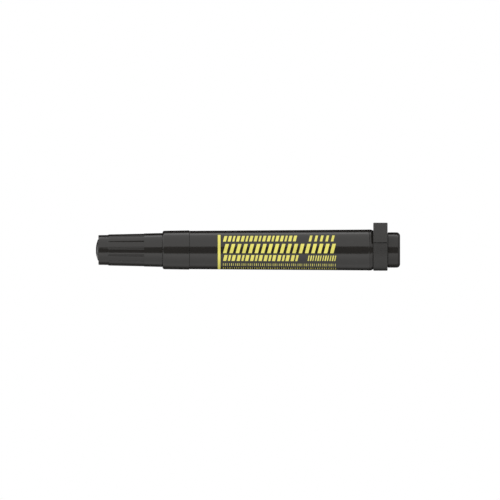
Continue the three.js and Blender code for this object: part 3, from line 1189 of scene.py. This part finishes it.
@dataclass
class RearPlug:
    """Plug that closes the barrel: flange, collar groove and knob."""

    axis: MarkerAxis
    effects: Effects
    barrel: Barrel
    flange_length: float = 1.675
    flange_taper: float = 0.45
    flange_taper_length: float = 1.0
    groove_radius: float = 7.55
    groove_length: float = 6.495
    knob_radius: float = 7.86
    knob_round: float = 1.6
    knob_edge: float = 0.15
    end_plate: float = 0.95
    end_wall: float = 1.5
    bore: float = 5.9
    insert_gap: float = 0.05
    insert_taper: float = 0.06
    dimple_radius: float = 1.6
    dimple_slope: float = 0.24
    dimple_depth: float = 0.18

    def build(self) -> list[bpy.types.Object]:
        """Builds and dresses the plug and the matt plate that ends its knob.

        One profile is cut at the plate's place, and each part is closed there with a flat face.

        Returns:
            The plug and the plate.
        """
        span = self.axis.span("rear_plug")
        flange = self.barrel.span.end
        groove = flange + self.flange_length
        knob = groove + self.groove_length
        plate = span.end - self.end_plate
        insert = self.barrel.rear_radius - self.barrel.rear_wall - self.insert_gap
        corners = [
            (span.end - self.end_wall, 0.0, 0.0),
            (span.end - self.end_wall, self.bore, 0.4),
            (span.start, self.bore, 0.1),
            (span.start, insert - self.insert_taper, 0.3),
            (flange, insert, 0.0),
            (flange, self.barrel.rear_radius, 0.08),
            (groove - self.flange_taper_length, self.barrel.rear_radius, 0.6),
            (groove, self.barrel.rear_radius - self.flange_taper, 0.15),
            (groove, self.groove_radius, 0.1),
            (knob, self.groove_radius, 0.06),
            (knob, self.knob_radius, self.knob_edge),
            (span.end, self.knob_radius, self.knob_round),
            (span.end, self.dimple_radius, 0.1),
            (span.end - self.dimple_depth, self.dimple_radius - self.dimple_slope, 0.1),
            (span.end - self.dimple_depth, 0.0, 0.0),
        ]
        whole = rounded(corners, steps=7)
        first = int(np.argmax(whole[:, 0] > plate))
        before, after = whole[first - 1], whole[first]
        rim = before + (after - before) * (plate - before[0]) / (after[0] - before[0])
        middle = np.array([plate, 0.0])
        front, rear = [*whole[:first], rim, middle], [middle, rim, *whole[first:]]
        plug = turned_object("rear_plug_form", self.axis, np.array(front))
        end = turned_object("knob_end_form", self.axis, np.array(rear))
        gloss, matt = KNOB_PLASTIC.material(self.effects), KNOB_END_PLASTIC.material(self.effects)
        return [
            settle(plug, Body.MARKER, Slot.BLACK, gloss, "rear_plug"),
            settle(end, Body.MARKER, Slot.BLACK, matt),
        ]


@dataclass
class MagnetCollar:
    """Collar that turns on the rear plug: ring, flat-topped housing, and the magnet inside."""

    axis: MarkerAxis
    effects: Effects
    ring_bore: float = 7.61
    ring_round: float = 0.35
    housing_skirt: float = 3.43
    housing_cheek: float = 0.56
    housing_lean: float = 14.0
    housing_round: float = 0.5
    cheek_round: float = 0.12
    skirt_rise: float = 0.6
    saddle_points: int = 50
    edge_round: float = 0.3
    edge_points: int = 6
    edge_margin: float = 0.1
    saddle_gap: float = 0.05
    magnet_gap: float = 0.1

    def __post_init__(self) -> None:
        """Reads the collar's place and the magnet's box from the frame."""
        self.ring = self.axis.span("magnet_ring")
        low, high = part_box("magnet")
        self.magnet_start = (low[0] - self.axis.start) / MM - self.magnet_gap
        self.magnet_end = (high[0] - self.axis.start) / MM + self.magnet_gap
        self.magnet_half = high[1] / MM + self.magnet_gap
        self.magnet_floor = (low[2] - self.axis.height) / MM - self.magnet_gap / 2
        self.magnet_top = (high[2] - self.axis.height) / MM + self.magnet_gap
        self.top = (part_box("magnet_housing")[1][2] - self.axis.height) / MM
        self.ring_radius = min(self.ring.radius, self.axis.height / MM)
        self.saddle = self.ring.radius + self.saddle_gap

    def build_ring(self) -> bpy.types.Object:
        """Makes the ring: a rounded tube, cut flat at the top between the magnet's ends.

        There the radius is the lower of the ring's and the flat's height over the angle's sine.
        """
        least_sine = 0.5
        start, end = self.ring.start, self.ring.end
        front, rear = self.magnet_start, self.magnet_end
        seat = [front, front + 2 * STEP, rear - 2 * STEP, rear]
        corners = [
            (start, self.ring_bore, 0.15),
            (start, self.ring_radius, self.ring_round),
            *[(place, self.ring_radius, 0.0) for place in seat],
            (end, self.ring_radius, self.ring_round),
            (end, self.ring_bore, 0.15),
        ]
        profile = supported(rounded(corners, closed=True), closed=True)
        angle = np.linspace(0, 2 * np.pi, COLUMNS, endpoint=False)[None, :]
        along, radius = profile[:, :1], profile[:, 1:]
        flat = self.magnet_floor / np.maximum(np.sin(angle), least_sine)
        under = (along > front + STEP) & (along < rear - STEP)
        radius = np.where(under, np.minimum(radius, flat), radius)
        return grid_object("magnet_ring_form", self.axis.around(along, radius, angle), closed=True)

    def skirt_edge(self, inset: float) -> tuple[float, float]:
        """Half width and height of the housing's lower edge, on the saddle's circle."""
        height = self.housing_skirt + inset * self.skirt_rise
        return math.sqrt(self.saddle**2 - height**2), height

    def outer_line(self, inset: float) -> np.ndarray:
        """The outer line of the housing's outline, up one leaning side and down the other.

        Args:
            inset: how far it lies inside the full outline.

        Returns:
            Points across and up, in shape (points, 2).
        """
        lean = math.tan(math.radians(self.housing_lean))
        low_half = self.skirt_edge(0.0)[0] + self.housing_cheek
        top_half = low_half - (self.top - self.housing_skirt) * lean
        inner_half, skirt = self.skirt_edge(inset)
        side = [
            (inner_half, skirt, 0.0),
            (low_half - inset, skirt, self.cheek_round),
            (top_half - inset, self.top - inset, self.housing_round),
        ]
        mirrored = [(-across, up, rounding) for across, up, rounding in reversed(side)]
        return rounded(side + mirrored, steps=6)

    def outline(self, inset: float, pocket: bool) -> np.ndarray:
        """The housing's outline across the marker, for one place along it.

        The outer line runs up one leaning side, over the flat top and down the other. The inner
        line follows the saddle's circle, or the magnet's pocket where one is cut.

        Args:
            inset: how far the outer line lies inside the full outline.
            pocket: whether the outline runs through the magnet's pocket.

        Returns:
            Points across and up, in shape (points, 2).
        """
        outer = at_places(self.outer_line(inset), support_places(self.outer_line(0.0), closed=False))
        inner_half, _ = self.skirt_edge(inset)
        walls = np.array([self.magnet_half, self.magnet_half + STEP])
        across = np.linspace(-inner_half, inner_half, self.saddle_points)[1:-1]
        across = np.sort(np.concatenate([across, walls, -walls]))
        up = np.sqrt(self.saddle**2 - across**2)
        if pocket:
            up = np.where(np.abs(across) < self.magnet_half + STEP / 2, self.magnet_top, up)
        return np.concatenate([outer, np.stack([across, up], axis=-1)])

    def build_housing(self) -> bpy.types.Object:
        """Makes the housing: its outline carried along the marker.

        Near either end the outline shrinks along a quarter circle, which rounds the end's edges.
        """
        start, end = self.ring.start, self.ring.end
        turn = np.linspace(0, np.pi / 2, self.edge_points)
        near = self.edge_round * (1 - np.cos(turn))
        inset = self.edge_round * (1 - np.sin(turn))
        rows = [(start + a, b, False) for a, b in zip(near, inset)]
        rows += [(start + self.edge_round + self.edge_margin, 0.0, False)]
        rows += [(self.magnet_start, 0.0, False), (self.magnet_start + STEP, 0.0, True)]
        rows += [(self.magnet_end - STEP, 0.0, True), (self.magnet_end, 0.0, False)]
        rows += [(end - self.edge_round - self.edge_margin, 0.0, False)]
        rows += [(end - a, b, False) for a, b in zip(near[::-1], inset[::-1])]
        outlines = np.stack([self.outline(shrunk, pocket) for _, shrunk, pocket in rows])
        along = np.array([place for place, _, _ in rows])[:, None]
        grid = self.axis.place(along, outlines[..., 0], outlines[..., 1])
        return grid_object("magnet_housing_form", grid, closed=False, ends=True, sharp=50.0)

    def build(self) -> list[bpy.types.Object]:
        """Builds and dresses the collar; the magnet stays as it is.

        Returns:
            Its pieces.
        """
        # The ring wears the darker copy of the satin plastic, which is painted shade on it.
        satin, darker = SATIN_PLASTIC.material(self.effects), SATIN_PLASTIC_PAINTED_SHADE.material(self.effects)
        return [
            settle(self.build_ring(), Body.COLLAR, Slot.SATIN, darker, "magnet_ring"),
            settle(self.build_housing(), Body.COLLAR, Slot.SATIN, satin, "magnet_housing"),
            dress(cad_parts["magnet"], NICKEL.material(self.effects)),
        ]


@dataclass
class Studio:
    """Floor, world, lamps, dark cards for the reflections, and the camera.

    Lengths are in metres here, and angles in degrees above the camera's side.
    """

    axis: MarkerAxis
    view_width: float = 0.2225
    view_shift: float = 0.000902
    camera_distance: float = 1.0
    floor_size: float = 4.0
    floor_colour: Colour = (0.88, 0.88, 0.875)
    floor_mottle: float = 0.985
    floor_gloss: float = 0.92
    floor_diffuse: float = 0.7
    floor_foot: float = 0.03
    floor_near: float = 0.82
    floor_far: float = 1.28
    floor_gain: tuple[float, float] = (0.0045, 0.02)
    foot_shade: tuple[float, float] = (0.0023, 0.0054)
    foot_shade_behind: float = 5.0
    cap_slimness: float = 0.0012
    cap_end: float = -0.0384
    reflected_level: float = 1.08
    lamp_distance: float = 0.5
    lamp_angle: float = 110.0
    lamp_spread: float = 14.0
    lamp_length: float = 0.7
    lamp_radiance: float = 0.62
    fill_distance: float = 0.8
    fill_angle: float = 12.0
    fill_size: float = 0.6
    fill_level: float = 0.3
    front_card_length: float = 0.3
    front_card_distance: float = 0.028
    front_card_rise: float = 0.0178
    rear_card_length: float = 0.23
    rear_card_distance: float = 0.06
    rear_card_angle: float = 63.0

    def floor_light(self, write: NodeWriter, position: object) -> tuple[object, object]:
        """The light that the floor gives, in place of its paper, to rays not from the camera.

        Reflections see it mostly as a white sheet that is dark at the marker's foot and brightens
        outwards, and diffuse light as a white one. The dark foot is wider behind the marker, and
        narrower beside the slimmer cap.

        Args:
            write: writer of the floor's material.
            position: place on the floor, in metres.

        Returns:
            The share of this light, and its strength.
        """
        path = write.add("ShaderNodeLightPath").outputs
        lighting = path["Is Diffuse Ray"]
        share = write.math("MULTIPLY", path["Is Glossy Ray"], self.floor_gloss)
        share = write.math("ADD", share, write.math("MULTIPLY", lighting, self.floor_diffuse))
        place = write.add("ShaderNodeSeparateXYZ", {0: position}).outputs
        in_front = write.math("MULTIPLY", place["Y"], -1.0)
        behind = write.math("DIVIDE", place["Y"], self.foot_shade_behind)
        away = write.math("MAXIMUM", in_front, behind)
        beside_cap = write.math("LESS_THAN", place["X"], self.cap_end)
        slimness = write.math("MULTIPLY", beside_cap, self.cap_slimness)
        lit = write.ramp(write.math("ADD", away, slimness), *self.foot_shade)
        gain = write.ramp(away, *self.floor_gain)
        gain = write.math("MULTIPLY", gain, self.floor_far - self.floor_near)
        strength = write.math("MULTIPLY", lit, write.math("ADD", gain, self.floor_near))
        least = write.math("MAXIMUM", lighting, self.floor_foot)
        return share, write.math("MAXIMUM", strength, least)

    def build_floor(self) -> bpy.types.Object:
        """Makes the floor, which the camera sees as faintly mottled pale paper with a soft shadow."""
        half = self.floor_size / 2
        corners = [(-half, -half, 0), (half, -half, 0), (half, half, 0), (-half, half, 0)]
        floor = mesh_object("floor", np.array(corners), [(0, 1, 2, 3)])
        write = MaterialWriter("floor_paper")
        position = write.position()
        darker = tuple(self.floor_mottle * part for part in self.floor_colour)
        paper = write.blend(write.noise(position, 30.0), self.floor_colour, darker)
        inputs = {"Base Color": paper, "Roughness": 0.9, "Specular IOR Level": 0.1}
        material = write.shaded(inputs)
        share, strength = self.floor_light(write, position)
        white = write.add("ShaderNodeEmission", {"Color": WHITE, "Strength": strength})
        inputs = {0: share, 1: write.shader.outputs[0], 2: white.outputs[0]}
        mix = write.add("ShaderNodeMixShader", inputs)
        write.feed(write.output, {"Surface": mix.outputs[0]})
        material.cycles.emission_sampling = "NONE"
        return dress(floor, material)

    def build_card(self, name: str, across: float, top: float, length: float) -> bpy.types.Object:
        """Makes a dark upright card along the marker, which only reflections show.

        Args:
            name: the object's name.
            across: its place across the marker; negative is the camera's side.
            top: height of its upper edge above the floor.
            length: along the marker.

        Returns:
            The card.
        """
        half = length / 2
        corners = [(-half, across, 0), (half, across, 0), (half, across, top), (-half, across, top)]
        card = mesh_object(name, np.array(corners), [(0, 1, 2, 3)])
        write = MaterialWriter(name)
        dress(card, write.shaded({"Base Color": NO_LIGHT, "Specular IOR Level": 0.0}))
        card.visible_camera = False
        card.visible_diffuse = False
        card.visible_transmission = False
        card.visible_shadow = False
        return card

    def build_world(self) -> None:
        """Makes a white background, slightly brighter where reflections see it."""
        world = bpy.data.worlds.new("studio")
        world.use_nodes = True
        world.node_tree.nodes.clear()
        world.cycles.sampling_method = "NONE"
        write = NodeWriter(world.node_tree)
        glossy = write.add("ShaderNodeLightPath").outputs["Is Glossy Ray"]
        level = write.math("ADD", write.math("MULTIPLY", glossy, self.reflected_level - 1.0), 1.0)
        background = write.add("ShaderNodeBackground", {"Color": WHITE, "Strength": level})
        write.add("ShaderNodeOutputWorld", {"Surface": background.outputs[0]})
        bpy.context.scene.world = world

    def build_lamp(
        self, name: str, distance: float, angle: float, size: tuple[float, float], power: float
    ) -> bpy.types.Object:
        """Makes a soft lamp that is turned towards the marker.

        Args:
            name: the lamp's name.
            distance: from the marker's axis.
            angle: degrees above the camera's side.
            size: along the marker and across the light's direction.
            power: in watts.

        Returns:
            The lamp.
        """
        data = bpy.data.lights.new(name, "AREA")
        data.shape = "RECTANGLE"
        data.size, data.size_y = size
        data.energy = power
        lamp = bpy.data.objects.new(name, data)
        turn = math.radians(angle)
        height = self.axis.height + distance * math.sin(turn)
        lamp.location = (0.0, -distance * math.cos(turn), height)
        lamp.rotation_euler = (math.radians(90) - turn, 0.0, 0.0)
        lamp.visible_camera = False
        bpy.context.scene.collection.objects.link(lamp)
        return lamp

    def build_lamps(self) -> None:
        """Makes the long lamp above and behind, which reflections show, and the fill in front.

        A lamp's power is its radiance times its area times pi. The fill's radiance times its area
        is the wanted level times pi times the square of its distance.
        """
        width = 2 * self.lamp_distance * math.tan(math.radians(self.lamp_spread / 2))
        power = self.lamp_radiance * self.lamp_length * width * math.pi
        size = (self.lamp_length, width)
        self.build_lamp("overhead", self.lamp_distance, self.lamp_angle, size, power)
        power = self.fill_level * math.pi * self.fill_distance**2 * math.pi
        size = (self.fill_size, self.fill_size)
        fill = self.build_lamp("fill", self.fill_distance, self.fill_angle, size, power)
        fill.visible_glossy = False

    def build_camera(self) -> None:
        """Makes the camera: square on to the marker's side, without perspective."""
        data = bpy.data.cameras.new("camera")
        data.type = "ORTHO"
        data.ortho_scale = self.view_width
        camera = bpy.data.objects.new("camera", data)
        camera.location = (self.view_shift, -self.camera_distance, self.axis.height)
        camera.rotation_euler = (math.radians(90), 0.0, 0.0)
        bpy.context.scene.collection.objects.link(camera)
        bpy.context.scene.camera = camera

    def build(self) -> list[bpy.types.Object]:
        """Builds the studio.

        Returns:
            The floor and the two cards.
        """
        bpy.context.scene.view_settings.view_transform = "Standard"
        rise = self.rear_card_distance * math.tan(math.radians(self.rear_card_angle))
        front = (-self.front_card_distance, self.front_card_rise, self.front_card_length)
        rear = (self.rear_card_distance, self.axis.height + rise, self.rear_card_length)
        staged = [
            self.build_floor(),
            self.build_card("front_card", *front),
            self.build_card("rear_card", *rear),
        ]
        self.build_world()
        self.build_lamps()
        self.build_camera()
        return staged


def main() -> None:
    """Builds every sub-assembly and the studio, and reports each piece."""
    logging.basicConfig(level=logging.INFO, format="%(name)s: %(message)s")
    axis = MarkerAxis.from_frame()
    effects = Effects()
    barrel = Barrel(axis, effects)
    assemblies = [
        Cap(axis, effects),
        WritingEnd(axis, effects),
        barrel,
        Print(axis, effects, barrel),
        RearPlug(axis, effects, barrel),
        MagnetCollar(axis, effects),
        Studio(axis),
    ]
    for assembly in assemblies:
        for piece in assembly.build():
            log.info("%s: %s, %d faces", type(assembly).__name__, piece.name, len(piece.data.polygons))


if __name__ == "__main__":
    main()
